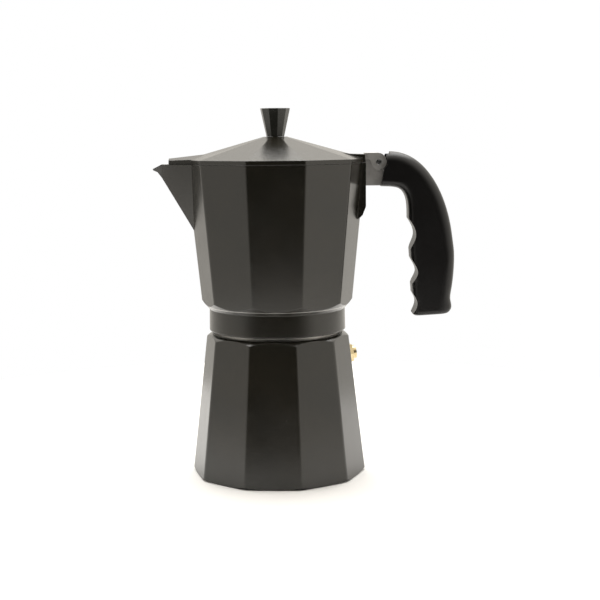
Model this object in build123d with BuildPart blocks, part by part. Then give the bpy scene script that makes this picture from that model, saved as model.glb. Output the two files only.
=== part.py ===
from build123d import *
from math import cos, hypot, pi, sin, tan, radians
import os

# Stovetop moka pot, nine-cup size.  Millimetres, +Z up.
# The origin is the middle of the boiler's base.  The spout points to -X and the handle to +X.
os.makedirs("parts", exist_ok=True)

# ---------------------------------------------------------------- driving dimensions
SIDES = 10                      # facets of boiler, collector and lid
BASE_RADIUS = 60.0              # boiler, across its corners, at the bottom
BOILER_TURN = -4.3              # the screwed joint stops a little short of lining the facets up
SHOULDER_Z = 97.2               # top of the boiler's shoulder, where the neck starts
SHOULDER_RADIUS = 44.9
BOILER_TAPER = 6.33             # degrees, each facet leans in by this

PITCH = 3.2                     # screw thread between boiler and collector
THREAD_TURNS_MALE = 1.8
THREAD_TURNS_FEMALE = 1.6
THREAD_START_Z = 99.8
NECK_RADIUS = 41.6              # root of the boiler's thread
NECK_TOP_Z = 107.0
NECK_BORE = 37.4
MALE_CREST = 43.0
FEMALE_CREST = 42.2
FEMALE_ROOT = 43.6

COLLAR_BOTTOM_Z = 99.5
COLLAR_TOP_Z = 114.7
COLLAR_RADIUS = 46.7
WAIST_Z = 120.3                 # where the collector's corners begin
WAIST_RADIUS = 51.7
RIM_Z = 212.9
RIM_RADIUS = 60.9
WALL = 3.15                     # collector wall, measured at a corner
FLOOR_Z = 117.5                 # inside floor of the collector
SEAT_Z = 111.1                  # face that the gasket is pressed against

LID_BOTTOM_Z = 213.1
LID_BAND_Z = 215.9
LID_TOP_Z = 230.9
LID_TOP_RADIUS = 7.9

PIN_X = 69.6                    # lid hinge axis, along Y
PIN_Z = 213.5
PIN_RADIUS = 1.5
BOSS_HALF_WIDTH = 7.5
RIVET_Y = 2.6                   # the two rivets that hold the hinge leaf to the lid
RIVET_Z = 216.2
RIVET_RADIUS = 1.25
RIVET_HEAD = 1.7
RIVET_END_X = 54.7
LOW_SCREW_Z = 201.5             # the two screws that hold the handle bracket to the boss
HIGH_SCREW_Z = 207.8
BRACKET_SCREW_END_X = 54.6

VALVE_Z = 79.5
TOP_Z = 250.0                   # top of the knob

M4 = 2.0                        # radius of an M4 shank

FACET_FLAT = cos(pi / SIDES)    # half the width across flats, over the corner radius
BODY_CORNER = 4.0               # rounding of the upright edges


def sharp_radius(radius, corner):
    """Radius of the unrounded outline whose corners, once rounded, reach the given radius."""
    return radius + corner * (1 / FACET_FLAT - 1)


def decagon(radius, turn, corner, mode=Mode.ADD):
    """A ten-sided outline with rounded corners, in the current sketch."""
    with BuildSketch(mode=Mode.PRIVATE) as outline:
        RegularPolygon(sharp_radius(radius, corner), SIDES, rotation=turn)
        fillet(outline.vertices(), corner)
    add(outline.sketch, mode=mode)


def decagon_loft(low_z, low_radius, high_z, high_radius, turn, corner):
    """A tapered ten-sided solid between two heights, as a private part."""
    with BuildPart(mode=Mode.PRIVATE) as body:
        with BuildSketch(Plane.XY.offset(low_z)):
            decagon(low_radius, turn, corner)
        with BuildSketch(Plane.XY.offset(high_z)):
            decagon(high_radius, turn, corner)
        loft(ruled=True)
    return body.part


def thread_ridge(root, crest, turns, start_z):
    """One right-hand helical ridge of trapezoid section, from its root radius to its crest."""
    flank_root = 0.95
    flank_crest = 0.45
    with BuildPart(mode=Mode.PRIVATE) as ridge:
        with BuildLine() as path:
            Helix(PITCH, PITCH * turns, root, center=(0, 0, start_z))
        with BuildSketch(Plane(origin=path.line @ 0, x_dir=(1, 0, 0), z_dir=path.line % 0)):
            with BuildLine():
                Polyline(
                    (0, -flank_root),
                    (crest - root, -flank_crest),
                    (crest - root, flank_crest),
                    (0, flank_root),
                    close=True,
                )
            make_face()
        sweep(is_frenet=True)
    return ridge.part


def perforated_disc(radius, thickness, z, hole_radius, spacing, rows):
    """A thin round plate with a hexagonal field of holes, as a private part."""
    margin = 2.6
    with BuildPart(mode=Mode.PRIVATE) as disc:
        with BuildSketch(Plane.XY.offset(z)):
            Circle(radius)
            with HexLocations(spacing / 2, rows, rows) as grid:
                spots = [spot.position for spot in grid.local_locations]
            inside = [p for p in spots if hypot(p.X, p.Y) < radius - margin]
            with Locations(*[(p.X, p.Y) for p in inside]):
                Circle(hole_radius, mode=Mode.SUBTRACT)
        extrude(amount=thickness)
    return disc.part


def save(part, name):
    """Label a finished piece and write it as its own STEP file."""
    part.label = name
    export_step(part, "parts/" + name + ".step")


# ---------------------------------------------------------------- boiler
BOILER_FLAT = sharp_radius(BASE_RADIUS, BODY_CORNER) * FACET_FLAT
TAPER_SLOPE = tan(radians(BOILER_TAPER))
BOILER_TOP_RADIUS = BASE_RADIUS - SHOULDER_Z * TAPER_SLOPE / FACET_FLAT
VALVE_ANGLE = 180.0 / SIDES + BOILER_TURN            # the facet just behind the handle side
VALVE_FLAT = BOILER_FLAT - VALVE_Z * TAPER_SLOPE
VALVE_DIRECTION = Vector(
    cos(radians(VALVE_ANGLE)) * cos(radians(BOILER_TAPER)),
    sin(radians(VALVE_ANGLE)) * cos(radians(BOILER_TAPER)),
    sin(radians(BOILER_TAPER)),
)
VALVE_PLANE = Plane(
    origin=(
        VALVE_FLAT * cos(radians(VALVE_ANGLE)),
        VALVE_FLAT * sin(radians(VALVE_ANGLE)),
        VALVE_Z,
    ),
    x_dir=(-sin(radians(VALVE_ANGLE)), cos(radians(VALVE_ANGLE)), 0),
    z_dir=VALVE_DIRECTION,
)
VALVE_HOLE = 5.0

boiler_facets = decagon_loft(0, BASE_RADIUS, SHOULDER_Z, BOILER_TOP_RADIUS, BOILER_TURN, BODY_CORNER)
male_thread = thread_ridge(NECK_RADIUS - 0.3, MALE_CREST, THREAD_TURNS_MALE, THREAD_START_Z)

with BuildPart() as boiler:
    add(boiler_facets)
    # Everything outside this turned shape is cut off: a rounded foot and a rounded shoulder,
    # which leaves an arch at the top of each facet.
    with BuildSketch(Plane.XZ):
        with BuildLine():
            Polyline(
                (0, 0),
                (BASE_RADIUS - 3.2, 0),
                (BASE_RADIUS + 0.5, 2.2),
                (BASE_RADIUS + 0.5, 60),
                (51.4, 90.8),
            )
            ThreePointArc((51.4, 90.8), (48.6, 94.9), (SHOULDER_RADIUS, SHOULDER_Z))
            Polyline((SHOULDER_RADIUS, SHOULDER_Z), (0, SHOULDER_Z), (0, 0))
        make_face()
    revolve(axis=Axis.Z, mode=Mode.INTERSECT)
    # Neck.
    with BuildSketch(Plane.XY.offset(SHOULDER_Z - 1)):
        Circle(NECK_RADIUS)
    extrude(amount=NECK_TOP_Z - SHOULDER_Z + 1)
    chamfer(boiler.faces().sort_by(Axis.Z)[-1].edges(), 0.6)
    # Water space.
    with BuildSketch(Plane.XZ):
        with BuildLine():
            Polyline(
                (0, 4.2),
                (48.0, 4.2),
                (52.6, 8.4),
                (43.9, 86.0),
                (NECK_BORE, 92.6),
                (NECK_BORE, NECK_TOP_Z + 1),
                (0, NECK_TOP_Z + 1),
                close=True,
            )
        make_face()
    revolve(axis=Axis.Z, mode=Mode.SUBTRACT)
    add(male_thread)
    # Tapped hole for the safety valve.
    with BuildSketch(VALVE_PLANE):
        Circle(VALVE_HOLE)
    extrude(amount=12, both=True, mode=Mode.SUBTRACT)
save(boiler.part, "boiler")

# ---------------------------------------------------------------- safety valve
WASHER_THICKNESS = 0.8
HEX_HEIGHT = 4.0
VALVE_BORE = 3.3
STEM_RADIUS = 1.0

with BuildPart() as valve_washer:
    with BuildSketch(VALVE_PLANE):
        Circle(7.2)
        Circle(VALVE_HOLE + 0.1, mode=Mode.SUBTRACT)
    extrude(amount=WASHER_THICKNESS)
save(valve_washer.part, "valve_washer")

with BuildPart() as valve_body:
    with BuildSketch(VALVE_PLANE.offset(-7.0)):
        Circle(VALVE_HOLE - 0.05)
    extrude(amount=7.0 + WASHER_THICKNESS)
    with BuildSketch(VALVE_PLANE.offset(WASHER_THICKNESS)):
        RegularPolygon(6.0, 6, major_radius=False)
    extrude(amount=HEX_HEIGHT)
    with BuildSketch(VALVE_PLANE.offset(WASHER_THICKNESS + HEX_HEIGHT)):
        Circle(4.6)
    extrude(amount=2.6)
    with BuildSketch(VALVE_PLANE.offset(-4.6)):
        Circle(VALVE_BORE)
    extrude(amount=13, mode=Mode.SUBTRACT)
    with BuildSketch(VALVE_PLANE.offset(-8.0)):
        Circle(1.5)
    extrude(amount=6, mode=Mode.SUBTRACT)
save(valve_body.part, "valve_body")

with BuildPart() as valve_plunger:
    with BuildSketch(VALVE_PLANE.offset(-4.5)):
        Circle(2.9)
    extrude(amount=1.4)
    with BuildSketch(VALVE_PLANE.offset(-4.5)):
        Circle(STEM_RADIUS)
    extrude(amount=13.2)
    fillet(valve_plunger.faces().sort_by(Axis(VALVE_PLANE.origin, VALVE_DIRECTION))[-1].edges(), 0.5)
save(valve_plunger.part, "valve_plunger")

SPRING_TURNS = 5
SPRING_WIRE = 0.35
SPRING_LENGTH = 7.0
with BuildPart(mode=Mode.PRIVATE) as coil:
    with BuildLine() as coil_path:
        Helix(SPRING_LENGTH / SPRING_TURNS, SPRING_LENGTH, 2.2)
    with BuildSketch(Plane(origin=coil_path.line @ 0, z_dir=coil_path.line % 0)):
        Circle(SPRING_WIRE)
    sweep(is_frenet=True)
with BuildPart() as valve_spring:
    add(VALVE_PLANE.offset(-2.7).location * coil.part)
save(valve_spring.part, "valve_spring")

with BuildPart() as valve_cap:
    with BuildSketch(VALVE_PLANE.offset(4.9)):
        Circle(VALVE_BORE)
        Circle(STEM_RADIUS + 0.3, mode=Mode.SUBTRACT)
        with PolarLocations(2.35, 3):
            Circle(0.45, mode=Mode.SUBTRACT)
    extrude(amount=1.6)
save(valve_cap.part, "valve_cap")

# ---------------------------------------------------------------- funnel and its plate
SHEET = 0.8
CUP_RADIUS = 36.6
CUP_FLOOR_Z = 76.0
STEM_TUBE = 6.0
RIM_FLANGE = 41.0

with BuildPart() as funnel:
    with BuildSketch(Plane.XZ):
        with BuildLine():
            Polyline(
                (STEM_TUBE, 9.0),
                (STEM_TUBE, 62.0),
                (12.0, 66.5),
                (CUP_RADIUS, CUP_FLOOR_Z - 1.5),
                (CUP_RADIUS, NECK_TOP_Z),
                (RIM_FLANGE, NECK_TOP_Z),
                (RIM_FLANGE, NECK_TOP_Z + 0.9),
                (CUP_RADIUS - SHEET, NECK_TOP_Z + 0.9),
                (CUP_RADIUS - SHEET, CUP_FLOOR_Z - 1.0),
                (12.4 - SHEET, 67.6),
                (STEM_TUBE - SHEET, 62.6),
                (STEM_TUBE - SHEET, 9.0),
                close=True,
            )
        make_face()
    revolve(axis=Axis.Z)
    fillet(funnel.edges().filter_by(GeomType.CIRCLE).group_by(Axis.Z)[-1].sort_by(SortBy.RADIUS)[-1:], 0.3)
save(funnel.part, "funnel")

with BuildPart() as funnel_plate:
    add(perforated_disc(CUP_RADIUS - SHEET - 0.05, 0.7, CUP_FLOOR_Z, 0.8, 5.2, 15))
save(funnel_plate.part, "funnel_plate")

# ---------------------------------------------------------------- gasket and filter plate
GASKET_BORE = 33.5
GASKET_RADIUS = 41.2

with BuildPart() as gasket:
    with BuildSketch(Plane.XY.offset(NECK_TOP_Z + 1.0)):
        Circle(GASKET_RADIUS)
        Circle(GASKET_BORE, mode=Mode.SUBTRACT)
    extrude(amount=SEAT_Z - NECK_TOP_Z - 1.0)
    fillet(gasket.edges().filter_by(GeomType.CIRCLE), 0.4)
save(gasket.part, "gasket")

FILTER_Z = 109.2
FILTER_SHEET = 0.8

with BuildPart() as filter_plate:
    add(perforated_disc(GASKET_BORE - 0.3, FILTER_SHEET, FILTER_Z, 0.7, 5.0, 15))
    # A low raised ring stiffens the plate around its middle.
    with BuildSketch(Plane.XY.offset(FILTER_Z + FILTER_SHEET)):
        Circle(3.4)
        Circle(1.9, mode=Mode.SUBTRACT)
    extrude(amount=0.5)
save(filter_plate.part, "filter_plate")

# ---------------------------------------------------------------- collector
FLARE = (RIM_RADIUS - WAIST_RADIUS) / (RIM_Z - WAIST_Z)     # corner radius gained per mm of height
BODY_LOW_Z = 112.0
SPOUT_TIP_X = -83.3
COLUMN_SEAT = 5.0

BODY_LOW_RADIUS = WAIST_RADIUS - (WAIST_Z - BODY_LOW_Z) * FLARE

collector_facets = decagon_loft(BODY_LOW_Z, BODY_LOW_RADIUS, RIM_Z, RIM_RADIUS, 0, BODY_CORNER)
chamber_low = WAIST_RADIUS - (WAIST_Z - FLOOR_Z) * FLARE - WALL
with BuildPart() as chamber:
    add(decagon_loft(FLOOR_Z, chamber_low, RIM_Z + 0.001, RIM_RADIUS - WALL, 0, 6.0))
    fillet(chamber.faces().sort_by(Axis.Z)[0].edges(), 4.0)
    top_face = chamber.faces().sort_by(Axis.Z)[-1]
    extrude(top_face, amount=2)
female_start_z = THREAD_START_Z + PITCH / 2
female_thread = thread_ridge(FEMALE_ROOT + 0.3, FEMALE_CREST, THREAD_TURNS_FEMALE, female_start_z)

# The beak is lofted through upright V sections: x, half width, top, bottom.
BEAK_SECTIONS = (
    (-50.0, 17.6, RIM_Z, 157.4),
    (-77.3, 3.9, RIM_Z, 203.8),
    (-80.2, 2.4, 211.4, 207.6),
    (SPOUT_TIP_X, 0.9, 209.9, 209.0),
)
CHANNEL_SECTIONS = (
    (-46.0, 17.2, RIM_Z + 2, 158.5),
    (-76.0, 2.5, RIM_Z + 2, 207.0),
    (-80.2, 1.1, RIM_Z + 2, 209.6),
    (SPOUT_TIP_X - 1.5, 0.5, RIM_Z + 2, 209.7),
)


def beak(sections):
    """A V-shaped solid lofted along X through the given sections, as a private part."""
    with BuildPart(mode=Mode.PRIVATE) as wedge:
        for x, half_width, top, bottom in sections:
            keel = 0.12 * half_width
            with BuildSketch(Plane(origin=(x, 0, 0), x_dir=(0, 1, 0), z_dir=(1, 0, 0))):
                with BuildLine():
                    Polyline(
                        (-half_width, top),
                        (-keel, bottom),
                        (keel, bottom),
                        (half_width, top),
                        close=True,
                    )
                make_face()
        loft(ruled=True)
    return wedge.part


with BuildPart() as collector:
    add(collector_facets)
    # The turned underside cuts a scalloped edge where the facets meet the round collar.
    with BuildSketch(Plane.XZ):
        with BuildLine():
            Polyline(
                (0, BODY_LOW_Z),
                (COLLAR_RADIUS - 2.4, BODY_LOW_Z),
                (WAIST_RADIUS + 2.6, WAIST_Z + 2.8),
                (RIM_RADIUS + 4, 150),
                (RIM_RADIUS + 4, RIM_Z),
                (0, RIM_Z),
                close=True,
            )
        make_face()
    revolve(axis=Axis.Z, mode=Mode.INTERSECT)
    # Round collar.
    with BuildSketch(Plane.XZ):
        with BuildLine():
            Polyline(
                (0, COLLAR_BOTTOM_Z),
                (COLLAR_RADIUS - 0.5, COLLAR_BOTTOM_Z),
                (COLLAR_RADIUS, COLLAR_BOTTOM_Z + 0.6),
                (COLLAR_RADIUS - 0.2, COLLAR_TOP_Z),
                (COLLAR_RADIUS - 0.2, COLLAR_TOP_Z + 1.5),
                (0, COLLAR_TOP_Z + 1.5),
                close=True,
            )
        make_face()
    revolve(axis=Axis.Z)
    # Beak, and the upright boss that the handle bracket is screwed to.
    add(beak(BEAK_SECTIONS))
    with BuildSketch(Plane.XZ):
        with BuildLine():
            Polyline(
                (50.0, RIM_Z),
                (50.0, 172.0),
                (56.6, 175.6),
                (58.6, 177.6),
                (RIM_RADIUS, 183.4),
                (RIM_RADIUS, RIM_Z),
                close=True,
            )
        make_face()
    extrude(amount=BOSS_HALF_WIDTH, both=True)
    # Inside of the chamber and of the beak.
    add(chamber.part, mode=Mode.SUBTRACT)
    add(beak(CHANNEL_SECTIONS), mode=Mode.SUBTRACT)
    # A pad inside the wall keeps the bracket screws blind.
    with BuildSketch(Plane.XZ):
        with BuildLine():
            Polyline(
                (52.5, 206.0),
                (54.5, 208.0),
                (59.0, 208.0),
                (59.0, 188.0),
                (55.2, 188.0),
                (52.5, 193.0),
                close=True,
            )
        make_face()
    extrude(amount=BOSS_HALF_WIDTH, both=True)
    # Threaded bore, gasket seat and the shallow dome over the filter plate.
    with BuildSketch(Plane.XZ):
        with BuildLine():
            Polyline(
                (0, COLLAR_BOTTOM_Z - 1),
                (FEMALE_ROOT + 0.6, COLLAR_BOTTOM_Z - 1),
                (FEMALE_ROOT + 0.6, COLLAR_BOTTOM_Z),
                (FEMALE_ROOT, COLLAR_BOTTOM_Z + 0.6),
                (FEMALE_ROOT, 108.0),
                (GASKET_RADIUS + 0.4, 108.0),
                (GASKET_RADIUS + 0.4, SEAT_Z),
                (GASKET_BORE - 0.5, SEAT_Z),
                (COLUMN_SEAT + 1, 113.4),
                (0, 113.4),
                close=True,
            )
        make_face()
    revolve(axis=Axis.Z, mode=Mode.SUBTRACT)
    add(female_thread)
    # Raised ring on the floor that the column is pressed into.
    with BuildSketch(Plane.XY.offset(FLOOR_Z - 1)):
        Circle(10.5)
    extrude(amount=3.4, taper=12)
    with BuildSketch(Plane.XY.offset(110)):
        Circle(COLUMN_SEAT)
    extrude(amount=14, mode=Mode.SUBTRACT)
    # Tapped holes for the bracket screws.
    with BuildSketch(Plane.YZ.offset(54.2)):
        with Locations((0, LOW_SCREW_Z), (0, HIGH_SCREW_Z)):
            Circle(M4 - 0.02)
    extrude(amount=10, mode=Mode.SUBTRACT)
save(collector.part, "collector")

# ---------------------------------------------------------------- column
COLUMN_TOP_Z = 181.0
COLUMN_LOW_Z = 113.6
COLUMN_BORE = 3.6
COLUMN_CAP = 4.5                # thickness of the closed top

with BuildPart() as column:
    with BuildSketch(Plane.XZ):
        with BuildLine():
            shank = Polyline(
                (COLUMN_BORE, COLUMN_LOW_Z),
                (COLUMN_SEAT, COLUMN_LOW_Z),
                (COLUMN_SEAT, FLOOR_Z + 2.4),
                (7.6, FLOOR_Z + 2.4),
                (7.2, FLOOR_Z + 4.4),
                (5.6, COLUMN_TOP_Z - 4),
            )
            crown = ThreePointArc(shank @ 1, (4.3, COLUMN_TOP_Z - 1.0), (1.5, COLUMN_TOP_Z))
            Polyline(
                crown @ 1,
                (0, COLUMN_TOP_Z),
                (0, COLUMN_TOP_Z - COLUMN_CAP),
                (COLUMN_BORE, COLUMN_TOP_Z - COLUMN_CAP),
                shank @ 0,
            )
        make_face()
    revolve(axis=Axis.Z)
    # Two outlets near the closed top.
    with BuildSketch(Plane.XZ):
        with Locations((0, COLUMN_TOP_Z - 10)):
            SlotOverall(9, 3.6, rotation=90)
    extrude(amount=9, both=True, mode=Mode.SUBTRACT)
save(column.part, "column")

# ---------------------------------------------------------------- lid
TONGUE_FRONT_X = -72.2
LID_RADIUS = RIM_RADIUS + 0.2
LUG_REAR_X = 60.3
LUG_HALF_WIDTH = 7.4
LID_INSIDE = 54.8
LID_HOLLOW_Z = 215.0
LIP_BOTTOM_Z = 209.9

lid_hollow = decagon_loft(LID_HOLLOW_Z, LID_INSIDE, LID_TOP_Z - 2.3, LID_TOP_RADIUS, 0, 3.0)
lid_roof = decagon_loft(LID_BAND_Z, LID_RADIUS, LID_TOP_Z, LID_TOP_RADIUS, 0, 2.0)
TONGUE_SECTIONS = (                # x, half width, eave, ridge
    (-48.0, 17.0, 216.4, 219.4),
    (TONGUE_FRONT_X, 5.9, 215.6, 216.8),
)
with BuildPart() as tongue:
    for x, half_width, eave, ridge in TONGUE_SECTIONS:
        with BuildSketch(Plane(origin=(x, 0, 0), x_dir=(0, 1, 0), z_dir=(1, 0, 0))):
            with BuildLine():
                Polyline(
                    (-half_width, LID_BOTTOM_Z),
                    (-half_width, eave),
                    (-half_width * 0.25, ridge),
                    (half_width * 0.25, ridge),
                    (half_width, eave),
                    (half_width, LID_BOTTOM_Z),
                    close=True,
                )
            make_face()
    loft(ruled=True)

with BuildPart() as lid:
    with BuildSketch(Plane.XY.offset(LID_BOTTOM_Z)):
        decagon(LID_RADIUS, 0, 2.0)
    extrude(amount=LID_BAND_Z - LID_BOTTOM_Z)
    add(lid_roof)
    # Tongue over the beak: a low roof with a flat ridge.
    add(tongue.part)
    # Lug at the back for the hinge leaf.
    with BuildSketch(Plane.XZ):
        with BuildLine():
            Polyline(
                (44.0, LID_BOTTOM_Z),
                (44.0, 220.0),
                (51.0, 218.9),
                (LUG_REAR_X, 218.6),
                (LUG_REAR_X, LID_BOTTOM_Z),
                close=True,
            )
        make_face()
    extrude(amount=LUG_HALF_WIDTH, both=True)
    # The corner beside the lug is trimmed back to the leaf's flange.
    with BuildSketch(Plane.XY.offset(LID_BOTTOM_Z - 1)):
        with Locations((LUG_REAR_X, 0)):
            Rectangle(10, 30, align=(Align.MIN, Align.CENTER))
    extrude(amount=10, mode=Mode.SUBTRACT)
    # Hollow underside, and a lip that drops into the mouth of the collector.
    with BuildSketch(Plane.XY.offset(LID_BOTTOM_Z)):
        decagon(LID_INSIDE, 0, 3.0)
    extrude(amount=LID_HOLLOW_Z - LID_BOTTOM_Z, mode=Mode.SUBTRACT)
    add(lid_hollow, mode=Mode.SUBTRACT)
    with BuildSketch(Plane.XY.offset(LIP_BOTTOM_Z)):
        decagon(LID_INSIDE + 1.6, 0, 3.0)
        decagon(LID_INSIDE, 0, 3.0, Mode.SUBTRACT)
    extrude(amount=LID_BOTTOM_Z - LIP_BOTTOM_Z + 0.5)
    # Hole for the knob screw.
    with BuildSketch(Plane.XY.offset(226)):
        Circle(M4 + 0.2)
    extrude(amount=8, mode=Mode.SUBTRACT)
    # Holes for the leaf's rivets.
    with BuildSketch(Plane.YZ.offset(54.5)):
        with Locations((-RIVET_Y, RIVET_Z), (RIVET_Y, RIVET_Z)):
            Circle(RIVET_RADIUS)
    extrude(amount=8, mode=Mode.SUBTRACT)
save(lid.part, "lid")

# ---------------------------------------------------------------- hinge leaf, rivets and pin
LEAF_INSIDE = 6.4
LEAF_OUTSIDE = 7.4
LEAF_TOP_Z = 219.5
LEAF_SHEET = 1.0
NOSE_END_Z = PIN_Z + 3.2         # lower end of the sheet that bends down behind the pin

with BuildPart() as lid_hinge_leaf:
    with BuildSketch(Plane.XZ):
        with BuildLine():
            leaf_top = Line((LUG_REAR_X, LEAF_TOP_Z), (PIN_X - 0.6, LEAF_TOP_Z))
            nose = ThreePointArc(leaf_top @ 1, (PIN_X + 3.9, PIN_Z + 3.9), (PIN_X + 5.4, PIN_Z))
            lobe = ThreePointArc(nose @ 1, (PIN_X, PIN_Z - 5.4), (PIN_X - 4.9, PIN_Z - 1.6))
            Polyline(lobe @ 1, (PIN_X - 5.8, 215.0), (LUG_REAR_X, 215.0), leaf_top @ 0)
        make_face()
    extrude(amount=LEAF_OUTSIDE, both=True)
    fillet(lid_hinge_leaf.edges().filter_by(Plane.XZ).group_by(Axis.Y)[-1].sort_by(Axis.Z)[-2:], 0.6)
    # Hollow it from below and behind the front flange, leaving the two cheeks and the top.
    with BuildSketch(Plane.XZ):
        with BuildLine():
            under_top = Line(
                (LUG_REAR_X + LEAF_SHEET, LEAF_TOP_Z - LEAF_SHEET), (PIN_X - 0.6, LEAF_TOP_Z - LEAF_SHEET)
            )
            under_nose = ThreePointArc(
                under_top @ 1, (PIN_X + 1.6, PIN_Z + 4.65), (PIN_X + 3.2, NOSE_END_Z)
            )
            Polyline(
                under_nose @ 1,
                (PIN_X + 7, NOSE_END_Z),
                (PIN_X + 7, PIN_Z - 8),
                (LUG_REAR_X + LEAF_SHEET, PIN_Z - 8),
                under_top @ 0,
            )
        make_face()
    extrude(amount=LEAF_INSIDE, both=True, mode=Mode.SUBTRACT)
    with BuildSketch(Plane.XZ):
        with Locations((PIN_X, PIN_Z)):
            Circle(PIN_RADIUS + 0.05)
    extrude(amount=10, both=True, mode=Mode.SUBTRACT)
    with BuildSketch(Plane.YZ.offset(LUG_REAR_X - 1)):
        with Locations((-RIVET_Y, RIVET_Z), (RIVET_Y, RIVET_Z)):
            Circle(RIVET_RADIUS)
    extrude(amount=4, mode=Mode.SUBTRACT)
save(lid_hinge_leaf.part, "lid_hinge_leaf")

with BuildPart() as leaf_rivets:
    with BuildSketch(Plane.YZ.offset(RIVET_END_X)):
        with Locations((-RIVET_Y, RIVET_Z), (RIVET_Y, RIVET_Z)):
            Circle(RIVET_RADIUS)
    extrude(amount=LUG_REAR_X + LEAF_SHEET - RIVET_END_X)
    with BuildSketch(Plane.YZ.offset(LUG_REAR_X + LEAF_SHEET)):
        with Locations((-RIVET_Y, RIVET_Z), (RIVET_Y, RIVET_Z)):
            Circle(RIVET_HEAD)
    extrude(amount=0.9, taper=25)
save(leaf_rivets.part, "leaf_rivets")

with BuildPart() as hinge_pin:
    with BuildSketch(Plane.XZ):
        with Locations((PIN_X, PIN_Z)):
            Circle(PIN_RADIUS)
    extrude(amount=LEAF_OUTSIDE + 0.15, both=True)
    for side in (1, -1):
        with BuildSketch(Plane.XZ.offset(side * (LEAF_OUTSIDE + 0.1))):
            with Locations((PIN_X, PIN_Z)):
                Circle(2.1)
        extrude(amount=side * 0.6, taper=30)
save(hinge_pin.part, "hinge_pin")

# ---------------------------------------------------------------- handle bracket and its screws
BRACKET_HALF = 6.0
CHEEK = 1.4
BRACKET_LOW_Z = 197.5
BRACKET_TOP_Z = 214.8
PLATE_TOP_Z = 212.2
KNUCKLE_RADIUS = 4.3
RELIEF_RADIUS = 5.9             # clearance round the hinge leaf's cheeks
TANG_REAR_X = 84.0
TANG_LOW_Z = 200.5
TANG_HIGH_Z = 207.5
PLATE_X = 63.4
SCREW_Z = 204.0

with BuildPart() as handle_bracket:
    with BuildSketch(Plane.XZ):
        with BuildLine():
            Polyline(
                (RIM_RADIUS, BRACKET_LOW_Z),
                (71.0, BRACKET_LOW_Z),
                (73.0, 209.4),
                (PIN_X, PIN_Z),
                (PIN_X - 3.0, BRACKET_TOP_Z),
                (RIM_RADIUS, BRACKET_TOP_Z),
                close=True,
            )
        make_face()
        with Locations((PIN_X, PIN_Z)):
            Circle(KNUCKLE_RADIUS)
    extrude(amount=BRACKET_HALF, both=True)
    # Room behind and below the knuckle for the leaf's bent sheet as the lid opens.
    with BuildSketch(Plane.XZ):
        with Locations((PIN_X, PIN_Z)):
            Circle(RELIEF_RADIUS)
            Circle(KNUCKLE_RADIUS, mode=Mode.SUBTRACT)
            Rectangle(12, 14, align=(Align.MAX, Align.CENTER), mode=Mode.SUBTRACT)
    extrude(amount=BRACKET_HALF + 1, both=True, mode=Mode.SUBTRACT)
    with BuildSketch(Plane.XZ):
        with BuildLine():
            Polyline(
                (PLATE_X, BRACKET_LOW_Z - 1),
                (69.2, BRACKET_LOW_Z - 1),
                (70.6, 208.8),
                (76.0, 208.8),
                (76.0, 220.0),
                (RIM_RADIUS - 1, 220.0),
                (RIM_RADIUS - 1, PLATE_TOP_Z),
                (PLATE_X, PLATE_TOP_Z),
                close=True,
            )
        make_face()
    extrude(amount=BRACKET_HALF - CHEEK, both=True, mode=Mode.SUBTRACT)
    # Tang that the handle slides over.
    with BuildSketch(Plane.XZ):
        with BuildLine():
            Polyline(
                (70.2, TANG_LOW_Z),
                (TANG_REAR_X, TANG_LOW_Z),
                (TANG_REAR_X, TANG_HIGH_Z),
                (70.2, TANG_HIGH_Z),
                close=True,
            )
        make_face()
    extrude(amount=BRACKET_HALF, both=True)
    with BuildSketch(Plane.XZ):
        with Locations((PIN_X, PIN_Z)):
            Circle(PIN_RADIUS)
    extrude(amount=10, both=True, mode=Mode.SUBTRACT)
    with BuildSketch(Plane.YZ.offset(75.0)):
        with Locations((0, SCREW_Z)):
            Circle(M4)
    extrude(amount=12, mode=Mode.SUBTRACT)
    with BuildSketch(Plane.YZ.offset(RIM_RADIUS - 1)):
        with Locations((0, LOW_SCREW_Z), (0, HIGH_SCREW_Z)):
            Circle(M4 + 0.1)
    extrude(amount=4, mode=Mode.SUBTRACT)
save(handle_bracket.part, "handle_bracket")

with BuildPart() as bracket_screws:
    with BuildSketch(Plane.YZ.offset(BRACKET_SCREW_END_X)):
        with Locations((0, LOW_SCREW_Z), (0, HIGH_SCREW_Z)):
            Circle(M4 - 0.02)
    extrude(amount=PLATE_X - BRACKET_SCREW_END_X)
    with BuildSketch(Plane.YZ.offset(PLATE_X)):
        with Locations((0, LOW_SCREW_Z), (0, HIGH_SCREW_Z)):
            Circle(3.0)
    extrude(amount=1.9, taper=15)
    with BuildSketch(Plane.YZ.offset(PLATE_X + 1.2)):
        with Locations((0, LOW_SCREW_Z), (0, HIGH_SCREW_Z)):
            Rectangle(0.7, 4.6)
    extrude(amount=2, mode=Mode.SUBTRACT)
save(bracket_screws.part, "bracket_screws")

# ---------------------------------------------------------------- handle
HANDLE_HALF = 11.0
BACK_ROUNDING = 8.0             # rounding of the outer edges
GRIP_ROUNDING = 5.0             # rounding of the edges under the fingers
END_ROUNDING = 3.0              # rounding round the handle's lower end
STATIONS = 11                   # cross-sections along the handle
BACK_SPREAD = 0.75
SLOT_HALF = 8.0                 # slot that the opening leaf swings into
SLOT_REACH = 8.0
BORE_RADIUS = 4.3               # access hole for the handle screw
BORE_FRONT_X = 91.0

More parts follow.
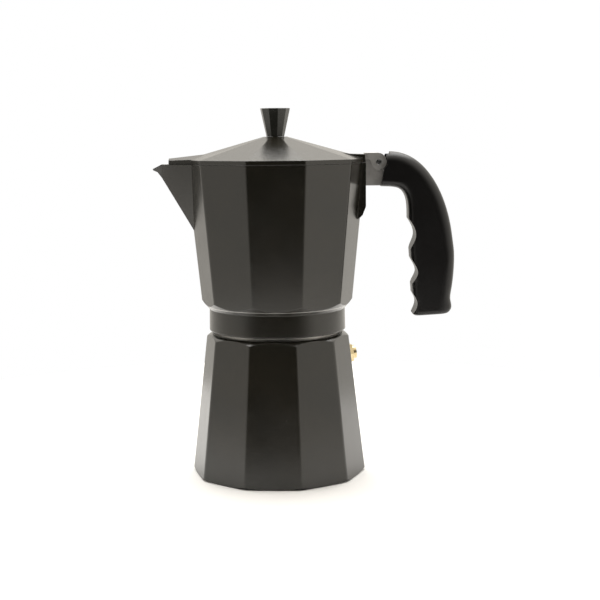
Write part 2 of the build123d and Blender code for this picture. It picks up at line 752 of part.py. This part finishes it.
with BuildLine(Plane.XZ) as back_line:
    Spline(
        (75.2, 220.2),
        (84.6, 219.4),
        (95.5, 214.2),
        (105.8, 203.3),
        (112.0, 192.3),
        (117.6, 175.9),
        (121.1, 153.8),
        (121.3, 140.0),
        (119.9, 126.2),
        (116.9, 109.5),
        tangents=((1, 0), (-0.25, -1)),
    )
with BuildLine(Plane.XZ) as palm_line:
    Spline(
        (71.3, 198.1),
        (82.0, 195.9),
        (89.2, 186.5),
        (89.7, 176.2),
        (91.2, 151.0),
        (92.1, 127.5),
        (93.0, 108.2),
        tangents=((1, -0.02), (0.04, -1)),
    )

with BuildPart() as handle:
    for station in range(STATIONS + 1):
        along = station / STATIONS
        # The back of the bend is longer than its inside, so its stations start further apart.
        outer_point = back_line.line @ (along ** BACK_SPREAD)
        inner_point = palm_line.line @ along
        across = outer_point - inner_point
        section = Plane(
            origin=(outer_point + inner_point) / 2,
            x_dir=across,
            z_dir=across.cross(Vector(0, 1, 0)),
        )
        with BuildSketch(section) as outline:
            Rectangle(across.length, 2 * HANDLE_HALF)
            fillet(outline.vertices().group_by(Axis.X)[-1], BACK_ROUNDING)
            fillet(outline.vertices().sort_by(Axis.X)[:2], GRIP_ROUNDING)
    loft()
    # Hollows for the fingers.
    with BuildSketch(Plane.XZ):
        with BuildLine():
            fingers = Spline(
                (84.0, 181.5),
                (89.3, 175.6),
                (94.5, 162.6),
                (90.7, 151.0),
                (95.9, 137.6),
                (91.6, 127.5),
                (95.5, 118.1),
                (92.4, 109.0),
                (88.0, 105.0),
            )
            Polyline(fingers @ 1, (80.0, 105.0), (80.0, 181.5), fingers @ 0)
        make_face()
    extrude(amount=HANDLE_HALF + 1, both=True, mode=Mode.SUBTRACT)
    fillet(handle.faces().filter_by(GeomType.PLANE).sort_by(Axis.Z)[0].edges(), END_ROUNDING)
    # Flat front face, a little behind the bracket.
    with BuildSketch(Plane.XZ):
        with BuildLine():
            Polyline(
                (71.2, 190.0),
                (71.3, 198.1),
                (75.2, 220.2),
                (75.5, 222.0),
                (60.0, 222.0),
                (60.0, 190.0),
                close=True,
            )
        make_face()
    extrude(amount=HANDLE_HALF + 1, both=True, mode=Mode.SUBTRACT)
    # Pocket for the bracket's tang.
    with BuildSketch(Plane.XZ):
        with BuildLine():
            Polyline(
                (68.0, TANG_LOW_Z - 0.3),
                (TANG_REAR_X + 0.3, TANG_LOW_Z - 0.3),
                (TANG_REAR_X + 0.3, TANG_HIGH_Z + 0.3),
                (68.0, TANG_HIGH_Z + 0.3),
                close=True,
            )
        make_face()
    extrude(amount=BRACKET_HALF + 0.2, both=True, mode=Mode.SUBTRACT)
    # Room for the hinge leaf, and for its top plate when the lid is open.
    with BuildSketch(Plane.XZ):
        with Locations((PIN_X, PIN_Z)):
            Circle(RELIEF_RADIUS)
    extrude(amount=HANDLE_HALF + 1, both=True, mode=Mode.SUBTRACT)
    with BuildSketch(Plane.XZ):
        with Locations((PIN_X, PIN_Z)):
            Circle(SLOT_REACH)
            Rectangle(SLOT_REACH, 12, align=(Align.MIN, Align.MIN))
    extrude(amount=SLOT_HALF, both=True, mode=Mode.SUBTRACT)
    # Stepped hole for the screw, from the back of the handle to the tang.
    with BuildSketch(Plane.YZ.offset(BORE_FRONT_X)):
        with Locations((0, SCREW_Z)):
            Circle(BORE_RADIUS)
    extrude(amount=25, mode=Mode.SUBTRACT)
    with BuildSketch(Plane.YZ.offset(TANG_REAR_X)):
        with Locations((0, SCREW_Z)):
            Circle(M4 + 0.2)
    extrude(amount=10, mode=Mode.SUBTRACT)
save(handle.part, "handle")

with BuildPart() as handle_washer:
    with BuildSketch(Plane.YZ.offset(BORE_FRONT_X)):
        with Locations((0, SCREW_Z)):
            Circle(BORE_RADIUS - 0.2)
            Circle(M4 + 0.2, mode=Mode.SUBTRACT)
    extrude(amount=0.9)
save(handle_washer.part, "handle_washer")

with BuildPart() as handle_screw:
    with BuildSketch(Plane.YZ.offset(76.0)):
        with Locations((0, SCREW_Z)):
            Circle(M4)
    extrude(amount=BORE_FRONT_X + 0.9 - 76.0)
    with BuildSketch(Plane.YZ.offset(BORE_FRONT_X + 0.9)):
        with Locations((0, SCREW_Z)):
            Circle(3.7)
    extrude(amount=2.4, taper=12)
    with BuildSketch(Plane.YZ.offset(BORE_FRONT_X + 2.3)):
        with Locations((0, SCREW_Z)):
            Rectangle(0.9, 5.4)
            Rectangle(5.4, 0.9)
    extrude(amount=2, mode=Mode.SUBTRACT)
save(handle_screw.part, "handle_screw")

# ---------------------------------------------------------------- knob
KNOB_BOTTOM_Z = 231.0
KNOB_LOW_RADIUS = 6.1
KNOB_HIGH_RADIUS = 10.2
KNOB_TURN = -7.0
KNOB_SEAT_Z = 227.6             # underside of the lid, where the knob's washer sits
KNOB_SCREW_HEIGHT = 2.2
INSERT_RADIUS = 3.3
INSERT_TOP_Z = 242.0

with BuildPart() as knob:
    with BuildSketch(Plane.XY.offset(KNOB_BOTTOM_Z)):
        RegularPolygon(KNOB_LOW_RADIUS, SIDES, rotation=KNOB_TURN)
    with BuildSketch(Plane.XY.offset(TOP_Z)):
        RegularPolygon(KNOB_HIGH_RADIUS, SIDES, rotation=KNOB_TURN)
    loft(ruled=True)
    upright = knob.edges().filter_by(lambda e: abs((e @ 0).Z - (e @ 1).Z) > 5)
    fillet(upright, 0.4)
    fillet(knob.faces().sort_by(Axis.Z)[-1].edges(), 0.5)
    with BuildSketch(Plane.XY.offset(KNOB_BOTTOM_Z - 1)):
        Circle(INSERT_RADIUS)
    extrude(amount=INSERT_TOP_Z - KNOB_BOTTOM_Z + 1, mode=Mode.SUBTRACT)
save(knob.part, "knob")

with BuildPart() as knob_insert:
    with BuildSketch(Plane.XY.offset(KNOB_BOTTOM_Z)):
        Circle(INSERT_RADIUS)
    extrude(amount=INSERT_TOP_Z - KNOB_BOTTOM_Z)
    with BuildSketch(Plane.XY.offset(KNOB_BOTTOM_Z)):
        Circle(M4)
    extrude(amount=9.5, mode=Mode.SUBTRACT)
save(knob_insert.part, "knob_insert")

with BuildPart() as knob_washer:
    with BuildSketch(Plane.XY.offset(KNOB_SEAT_Z)):
        Circle(4.6)
        Circle(M4 + 0.2, mode=Mode.SUBTRACT)
    extrude(amount=0.9)
save(knob_washer.part, "knob_washer")

with BuildPart() as knob_screw:
    with BuildSketch(Plane.XY.offset(KNOB_SEAT_Z)):
        Circle(M4)
    extrude(amount=12.4)
    with BuildSketch(Plane.XY.offset(KNOB_SEAT_Z)):
        Circle(3.8)
    extrude(amount=-KNOB_SCREW_HEIGHT, taper=15)
    with BuildSketch(Plane.XY.offset(KNOB_SEAT_Z - KNOB_SCREW_HEIGHT)):
        Rectangle(0.9, 5.6)
        Rectangle(5.6, 0.9)
    extrude(amount=1.1, mode=Mode.SUBTRACT)
save(knob_screw.part, "knob_screw")
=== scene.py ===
from math import cos, radians, sin

import bpy
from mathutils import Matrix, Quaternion, Vector


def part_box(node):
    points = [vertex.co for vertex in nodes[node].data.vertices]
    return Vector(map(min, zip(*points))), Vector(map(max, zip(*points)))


# A stovetop moka pot.  Metres, +Z up, spout towards -X, handle towards +X.
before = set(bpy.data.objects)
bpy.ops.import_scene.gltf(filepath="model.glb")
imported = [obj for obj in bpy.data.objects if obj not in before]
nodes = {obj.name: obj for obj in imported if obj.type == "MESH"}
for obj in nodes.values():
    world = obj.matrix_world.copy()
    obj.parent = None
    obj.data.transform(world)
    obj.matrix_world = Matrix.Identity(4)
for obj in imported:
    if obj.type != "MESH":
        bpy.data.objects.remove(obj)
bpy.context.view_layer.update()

LIP = 0.0032                             # how far the lid's lip hangs below its seat
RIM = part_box("lid")[0].z + LIP
SHOULDER = 0.0974                        # foot of the boiler's bare neck
BOILER_FLOOR = 0.002
BOILER_BORE = 0.0555                     # radius of the boiler's inside, measured at z = 0
BOILER_TAPER = 0.1109                    # how fast that radius shrinks with height
CHAMBER_FLOOR = 0.1165
CHAMBER_FOOT = 0.1203                    # height at which the chamber's wall starts to flare
CHAMBER_BORE = 0.0490                    # radius of the chamber there
CHAMBER_FLARE = 0.0945                   # how fast that radius grows with height
BEAK_START = -0.055                      # x beyond which the inside is the beak's channel
COLLAR_BORE = 0.0442
COLLAR_CEILING = 0.1145


# ---------------------------------------------------------------- node helpers
class Paint:
    """A material with one Principled shader, and short calls that add nodes and join them."""

    def __init__(self, name):
        self.material = bpy.data.materials.new(name)
        self.material.use_nodes = True
        self.tree = self.material.node_tree
        self.shader = self.tree.nodes["Principled BSDF"]
        self.coords = self.tree.nodes.new("ShaderNodeTexCoord")
        self.height = None

    def new(self, kind, inputs=(), **settings):
        node = self.tree.nodes.new(kind)
        for key, value in settings.items():
            setattr(node, key, value)
        for key, value in dict(inputs).items():
            self.put(node.inputs[key], value)
        return node

    def put(self, socket, value):
        """A socket takes either another node's output or a plain value."""
        if isinstance(value, bpy.types.NodeSocket):
            self.tree.links.new(value, socket)
        else:
            socket.default_value = value

    def set(self, **values):
        for key, value in values.items():
            self.put(self.shader.inputs[key.replace("_", " ")], value)

    def math(self, operation, a, b=0.0):
        node = self.new("ShaderNodeMath", {0: a, 1: b}, operation=operation)
        return node.outputs[0]

    def stretch(self, x, y, z):
        """Object coordinates scaled by different amounts along each axis."""
        node = self.new("ShaderNodeMapping", {"Vector": self.coords.outputs["Object"]})
        node.inputs["Scale"].default_value = (x, y, z)
        return node.outputs[0]

    def noise(self, scale, detail=3.0, rough=0.5, vector=None):
        node = self.new("ShaderNodeTexNoise", {"Scale": scale, "Detail": detail, "Roughness": rough})
        self.put(node.inputs["Vector"], vector or self.coords.outputs["Object"])
        return node.outputs["Fac"]

    def spots(self, scale, vector=None):
        node = self.new("ShaderNodeTexVoronoi", {"Scale": scale}, feature="F1")
        self.put(node.inputs["Vector"], vector or self.coords.outputs["Object"])
        return node.outputs["Distance"]

    def fit(self, value, low, high, to_low=0.0, to_high=1.0):
        """value moved from one range to another, and held there."""
        node = self.new(
            "ShaderNodeMapRange",
            {"Value": value, "From Min": low, "From Max": high, "To Min": to_low, "To Max": to_high},
        )
        return node.outputs["Result"]

    def mix(self, factor, a, b):
        """A colour between a and b."""
        node = self.new("ShaderNodeMix", data_type="RGBA")
        self.put(node.inputs["Factor"], factor)
        self.put(node.inputs["A"], a)
        self.put(node.inputs["B"], b)
        return node.outputs["Result"]

    def bump(self, height, distance, strength=1.0):
        """Adds surface relief on top of any that is already there."""
        node = self.new("ShaderNodeBump", {"Height": height, "Distance": distance, "Strength": strength})
        if self.height is not None:
            self.put(node.inputs["Normal"], self.height)
        self.height = node.outputs["Normal"]
        self.put(self.shader.inputs["Normal"], self.height)

    def round_edges(self, radius):
        """Lets sharp corners catch the light as if they were slightly rounded."""
        self.height = self.new("ShaderNodeBevel", {"Radius": radius}, samples=6).outputs["Normal"]
        self.put(self.shader.inputs["Normal"], self.height)

    def edges(self, radius):
        """1 on sharp outside edges and 0 on flats, from how far a rounded normal leans away."""
        rounded = self.new("ShaderNodeBevel", {"Radius": radius}, samples=4).outputs["Normal"]
        geometry = self.new("ShaderNodeNewGeometry").outputs["Normal"]
        lean = self.new("ShaderNodeVectorMath", {0: rounded, 1: geometry}, operation="DOT_PRODUCT")
        return self.fit(lean.outputs["Value"], 0.97, 0.80)

    def position(self):
        """x, y, z of the point, its distance from the pot's axis, and its own normal."""
        split = self.new("ShaderNodeSeparateXYZ", {0: self.coords.outputs["Object"]})
        x, y, z = split.outputs
        squares = self.math("ADD", self.math("MULTIPLY", x, x), self.math("MULTIPLY", y, y))
        around = self.math("SQRT", squares)
        facing = self.new("ShaderNodeSeparateXYZ", {0: self.coords.outputs["Normal"]})
        return x, y, z, around, facing.outputs


def rgb(red, green, blue):
    return (red, green, blue, 1.0)


OLIVE = rgb(0.0088, 0.0083, 0.0056)
OLIVE_WARM = rgb(0.0130, 0.0112, 0.0072)
CAST = rgb(0.50, 0.49, 0.47)
CAST_DULL = rgb(0.33, 0.325, 0.31)


# ---------------------------------------------------------------- materials
def coated_metal(name, bare_mask):
    """Glossy olive-graphite coating; bare cast aluminium where bare_mask says the coating stops."""
    paint = Paint(name)
    bare = bare_mask(paint)
    drift = paint.noise(26, 4)
    flake = paint.noise(2600, 2, 0.7)
    coat_colour = paint.mix(paint.fit(drift, 0.35, 0.65), OLIVE, OLIVE_WARM)
    coat_colour = paint.mix(paint.fit(flake, 0.60, 0.74, 0, 0.35), coat_colour, rgb(0.10, 0.095, 0.08))
    worn = paint.math("MULTIPLY", paint.edges(0.0006), paint.fit(paint.noise(210, 5, 0.65), 0.52, 0.70))
    coat_colour = paint.mix(paint.math("MULTIPLY", worn, 0.30), coat_colour, CAST_DULL)
    cast_colour = paint.mix(paint.fit(paint.noise(70, 5, 0.6), 0.3, 0.7), CAST_DULL, CAST)
    paint.set(Base_Color=paint.mix(bare, coat_colour, cast_colour))
    paint.set(Metallic=paint.fit(bare, 0, 1, 0.12, 1.0))
    smear = paint.fit(paint.noise(34, 6, 0.6), 0.35, 0.75, 0.0, 0.07)
    gloss = paint.math("ADD", smear, paint.fit(paint.noise(900, 2), 0.3, 0.7, 0.17, 0.22))
    dull = paint.fit(paint.noise(240, 4), 0.3, 0.7, 0.34, 0.48)
    rough = paint.math("ADD", gloss, paint.math("MULTIPLY", bare, paint.math("SUBTRACT", dull, gloss)))
    paint.set(Roughness=rough)
    paint.shader.inputs["IOR"].default_value = 1.62
    paint.round_edges(0.0006)
    peel = paint.math("MULTIPLY", paint.noise(620, 3), paint.fit(bare, 0, 1, 1, 0))
    paint.bump(peel, 0.00003, 0.35)
    grain = paint.math("MULTIPLY", paint.noise(850, 5, 0.65), bare)
    paint.bump(grain, 0.00012, 0.6)
    return paint.material


def boiler_bare(paint):
    """Bare metal: the neck and its thread, and the whole inside."""
    x, y, z, around, facing = paint.position()
    neck = paint.math("GREATER_THAN", z, SHOULDER)
    wall = paint.math("SUBTRACT", BOILER_BORE, paint.math("MULTIPLY", z, BOILER_TAPER))
    inside = paint.math("LESS_THAN", around, wall)
    above_floor = paint.math("GREATER_THAN", z, BOILER_FLOOR)
    inside = paint.math("MULTIPLY", inside, above_floor)
    return paint.math("MAXIMUM", neck, inside)


def collector_bare(paint):
    """Bare metal: chamber, beak channel, and the threaded underside."""
    x, y, z, around, facing = paint.position()
    above_foot = paint.math("SUBTRACT", z, CHAMBER_FOOT)
    wall = paint.math("ADD", CHAMBER_BORE, paint.math("MULTIPLY", above_foot, CHAMBER_FLARE))
    chamber = paint.math("LESS_THAN", around, wall)
    chamber = paint.math("MULTIPLY", chamber, paint.math("GREATER_THAN", z, CHAMBER_FLOOR))
    chamber = paint.math("MULTIPLY", chamber, paint.math("LESS_THAN", z, RIM - 0.0001))
    inward = paint.math("MULTIPLY", paint.math("SIGN", y), facing[1])
    beyond_wall = paint.math("LESS_THAN", x, BEAK_START)
    channel = paint.math("MULTIPLY", paint.math("LESS_THAN", inward, -0.25), beyond_wall)
    under = paint.math("LESS_THAN", around, COLLAR_BORE)
    under = paint.math("MULTIPLY", under, paint.math("LESS_THAN", z, COLLAR_CEILING))
    return paint.math("MAXIMUM", paint.math("MAXIMUM", chamber, channel), under)


def lid_bare(paint):
    """Bare metal: the lid's underside and lip."""
    x, y, z, around, facing = paint.position()
    below = paint.math("LESS_THAN", facing[2], -0.2)
    lip = paint.math("LESS_THAN", z, RIM)
    return paint.math("MAXIMUM", below, lip)


def spun_aluminium(name, rings):
    """Thin drawn sheet, satin, with fine marks running round the axis."""
    paint = Paint(name)
    marks = paint.noise(1.0, 3, 0.6, paint.stretch(25, 25, rings))
    tone = paint.fit(marks, 0.3, 0.7)
    paint.set(Base_Color=paint.mix(tone, rgb(0.56, 0.56, 0.55), rgb(0.72, 0.72, 0.71)), Metallic=1.0)
    paint.set(Roughness=paint.fit(paint.noise(120, 4), 0.3, 0.7, 0.24, 0.36))
    paint.bump(marks, 0.00004, 0.4)
    paint.bump(paint.spots(90), 0.0002, 0.05)
    return paint.material


def metal(name, dark, light, low_rough, high_rough, grain, stretched=(1, 1, 1)):
    """Solid metal with fine machining marks, mottled roughness and brighter rubbed edges."""
    paint = Paint(name)
    marks = paint.noise(grain, 4, 0.6, paint.stretch(*stretched))
    worn = paint.edges(0.0003)
    colour = paint.mix(paint.fit(paint.noise(140, 4), 0.35, 0.65), dark, light)
    brighter = rgb(*[min(1.0, part * 1.25) for part in light[:3]])
    paint.set(Base_Color=paint.mix(paint.math("MULTIPLY", worn, 0.6), colour, brighter), Metallic=1.0)
    rough = paint.fit(marks, 0.3, 0.7, low_rough, high_rough)
    paint.set(Roughness=paint.math("SUBTRACT", rough, paint.math("MULTIPLY", worn, 0.08)))
    paint.bump(marks, 0.00003, 0.5)
    return paint.material


def handle_plastic():
    """Satin black moulded phenolic: fine spark-eroded grain, a parting line, and palms' polish."""
    paint = Paint("handle_phenolic")
    x, y, z, around, facing = paint.position()
    polish = paint.fit(paint.noise(40, 5, 0.6), 0.4, 0.7)
    colour = paint.mix(polish, rgb(0.0030, 0.0026, 0.0027), rgb(0.0048, 0.0042, 0.0043))
    worn = paint.math("MULTIPLY", paint.edges(0.0008), paint.fit(paint.noise(300, 4), 0.5, 0.7))
    paint.set(Base_Color=paint.mix(paint.math("MULTIPLY", worn, 0.5), colour, rgb(0.04, 0.038, 0.037)))
    rough = paint.fit(paint.noise(1500, 2), 0.3, 0.7, 0.33, 0.41)
    paint.set(Roughness=paint.math("SUBTRACT", rough, paint.math("MULTIPLY", polish, 0.06)))
    paint.shader.inputs["IOR"].default_value = 1.42
    grain = paint.noise(2400, 3, 0.6)
    paint.bump(grain, 0.00004, 0.35)
    line = paint.fit(paint.math("ABSOLUTE", y), 0.00008, 0.00022, 1.0, 0.0)
    paint.bump(line, 0.00012, 0.6)
    return paint.material


def knob_plastic():
    """Glossy black moulded phenolic with faint swirls."""
    paint = Paint("knob_phenolic")
    swirl = paint.noise(160, 5, 0.6)
    dark, light = rgb(0.0300, 0.0305, 0.0270), rgb(0.0400, 0.0405, 0.0360)
    colour = paint.mix(paint.fit(swirl, 0.35, 0.65), dark, light)
    worn = paint.math("MULTIPLY", paint.edges(0.0005), paint.fit(paint.noise(420, 4), 0.45, 0.7))
    paint.set(Base_Color=paint.mix(paint.math("MULTIPLY", worn, 0.6), colour, rgb(0.06, 0.06, 0.058)))
    paint.set(Roughness=paint.fit(paint.noise(600, 3), 0.3, 0.7, 0.20, 0.29))
    paint.shader.inputs["IOR"].default_value = 1.58
    paint.bump(paint.noise(700, 3), 0.00003, 0.3)
    return paint.material


def silicone():
    """Off-white silicone rubber, slightly translucent, with a little coffee tint."""
    paint = Paint("silicone")
    stain = paint.fit(paint.noise(60, 5, 0.6), 0.45, 0.75)
    paint.set(Base_Color=paint.mix(stain, rgb(0.70, 0.68, 0.63), rgb(0.55, 0.45, 0.34)))
    paint.set(Roughness=paint.fit(paint.noise(500, 3), 0.3, 0.7, 0.42, 0.58))
    paint.shader.inputs["Subsurface Weight"].default_value = 0.15
    paint.shader.inputs["Subsurface Radius"].default_value = (0.002, 0.0016, 0.0012)
    paint.bump(paint.noise(1100, 3), 0.00005, 0.3)
    return paint.material


def fibre():
    """Pressed red fibre, matt and slightly fuzzy."""
    paint = Paint("red_fibre")
    threads = paint.noise(1.0, 4, 0.7, paint.stretch(1400, 1400, 5000))
    dark, light = rgb(0.20, 0.035, 0.02), rgb(0.34, 0.07, 0.04)
    paint.set(Base_Color=paint.mix(paint.fit(threads, 0.3, 0.7), dark, light))
    paint.set(Roughness=paint.fit(paint.noise(900, 2), 0.3, 0.7, 0.75, 0.9))
    paint.bump(threads, 0.00008, 0.6)
    return paint.material


steel = metal("stamped_steel", rgb(0.46, 0.45, 0.435), rgb(0.58, 0.57, 0.555), 0.44, 0.56, 900, (1, 1, 0.5))
zinc = metal("zinc_plated", rgb(0.55, 0.56, 0.57), rgb(0.72, 0.73, 0.74), 0.16, 0.30, 1500)
brass = metal("turned_brass", rgb(0.66, 0.53, 0.30), rgb(0.84, 0.72, 0.47), 0.20, 0.34, 1300)
spring_steel = metal("spring_steel", rgb(0.35, 0.35, 0.36), rgb(0.55, 0.55, 0.56), 0.20, 0.32, 2500)

FINISHES = {
    "boiler": coated_metal("boiler_coating", boiler_bare),
    "collector": coated_metal("collector_coating", collector_bare),
    "lid": coated_metal("lid_coating", lid_bare),
    "funnel": spun_aluminium("spun_sheet", 2200),
    "funnel_plate": spun_aluminium("punched_sheet", 300),
    "filter_plate": spun_aluminium("filter_sheet", 260),
    "column": metal("cast_column", CAST_DULL, CAST, 0.30, 0.44, 700),
    "gasket": silicone(),
    "valve_washer": fibre(),
    "valve_body": brass,
    "valve_cap": brass,
    "knob_insert": brass,
    "valve_plunger": zinc,
    "valve_spring": spring_steel,
    "lid_hinge_leaf": steel,
    "handle_bracket": steel,
    "hinge_pin": zinc,
    "leaf_rivets": zinc,
    "bracket_screws": zinc,
    "handle_screw": zinc,
    "handle_washer": zinc,
    "knob_screw": zinc,
    "knob_washer": zinc,
    "handle": handle_plastic(),
    "knob": knob_plastic(),
}


def smooth(piece, angle):
    """Smooth shading across gentle turns, sharp across edges steeper than the angle."""
    mesh = piece.data
    mesh.shade_smooth()
    mesh.set_sharp_from_angle(angle=radians(angle))


for name, piece in nodes.items():
    piece.data.materials.clear()
    piece.data.materials.append(FINISHES[name])
    smooth(piece, 28)


# ---------------------------------------------------------------- floor, light and camera
def disc(name, radius, height):
    """A round plane, with enough sides to read as a circle."""
    bpy.ops.mesh.primitive_circle_add(vertices=128, radius=radius, fill_type="NGON", location=(0, 0, height))
    made = bpy.context.active_object
    made.name = name
    return made


FLOOR_RADIUS = 0.43
floor = disc("floor", FLOOR_RADIUS, 0.0)
floor_paint = Paint("pale_floor")
floor_paint.set(Base_Color=(0.86, 0.855, 0.85, 1), Roughness=0.7)
floor_paint.bump(floor_paint.noise(300, 3), 0.0001, 0.05)
floor.data.materials.append(floor_paint.material)


def area_light(name, place, aim, size, watts):
    data = bpy.data.lights.new(name, "AREA")
    data.shape = "RECTANGLE"
    data.size, data.size_y = size
    data.energy = watts
    lamp = bpy.data.objects.new(name, data)
    bpy.context.scene.collection.objects.link(lamp)
    lamp.location = place
    lamp.rotation_mode = "QUATERNION"
    lamp.rotation_quaternion = (Vector(aim) - Vector(place)).to_track_quat("-Z", "Y")
    return lamp


area_light("top_softbox", (0.0, 0.35, 1.10), (0, 0, 0.15), (1.3, 0.9), 16.0)

world = bpy.data.worlds.new("tent")
bpy.context.scene.world = world
world.use_nodes = True
sky = world.node_tree
background = sky.nodes["Background"]
direction = sky.nodes.new("ShaderNodeTexCoord")
split = sky.nodes.new("ShaderNodeSeparateXYZ")
sky.links.new(direction.outputs["Generated"], split.inputs[0])
rays = sky.nodes.new("ShaderNodeLightPath")


def ramp(axis, low, high, to_low, to_high, form="LINEAR"):
    """Brightness that changes along one axis of the direction looked in."""
    node = sky.nodes.new("ShaderNodeMapRange")
    node.interpolation_type = form
    sky.links.new(split.outputs[axis], node.inputs["Value"])
    node.inputs["From Min"].default_value = low
    node.inputs["From Max"].default_value = high
    node.inputs["To Min"].default_value = to_low
    node.inputs["To Max"].default_value = to_high
    return node.outputs["Result"]


def combine(operation, a, b):
    node = sky.nodes.new("ShaderNodeMath")
    node.operation = operation
    sky.links.new(a, node.inputs[0])
    sky.links.new(b, node.inputs[1])
    return node.outputs[0]


# The tent is open on the front side, so it is dark there and white all round the rest.  Its left
# half is a little dimmer than its right, and its roof is brighter than its walls.
opening = ramp("Y", -0.90, -0.35, 0.03, 1.0, "SMOOTHSTEP")
walls = combine("MULTIPLY", opening, ramp("X", -1.0, 1.0, 0.86, 1.10))
tent = combine("MULTIPLY", walls, ramp("Z", 0.25, 0.60, 1.0, 1.5))
# The camera itself sees a plain white backdrop.
seen = rays.outputs["Is Camera Ray"]
sky.links.new(combine("MAXIMUM", tent, seen), background.inputs["Strength"])
tint = sky.nodes.new("ShaderNodeMix")
tint.data_type = "RGBA"
tint.inputs["A"].default_value = (1.0, 0.955, 0.875, 1)
tint.inputs["B"].default_value = (1, 1, 1, 1)
sky.links.new(seen, tint.inputs["Factor"])
sky.links.new(tint.outputs["Result"], background.inputs["Color"])

scene = bpy.context.scene
scene.view_settings.view_transform = "Standard"

camera_data = bpy.data.cameras.new("camera")
camera_data.lens = 78.135
camera_data.sensor_width = 36.0
camera = bpy.data.objects.new("camera", camera_data)
scene.collection.objects.link(camera)
YAW = radians(1.010)
PITCH = radians(7.477)
ROLL = radians(-0.5385)
forward = Vector((sin(YAW) * cos(PITCH), cos(YAW) * cos(PITCH), -sin(PITCH)))
camera.location = (0.0, -0.8896, 0.2358)
camera.rotation_mode = "QUATERNION"
camera.rotation_quaternion = forward.to_track_quat("-Z", "Y") @ Quaternion((0, 0, 1), ROLL)
camera_data.clip_start = 0.01
scene.camera = camera
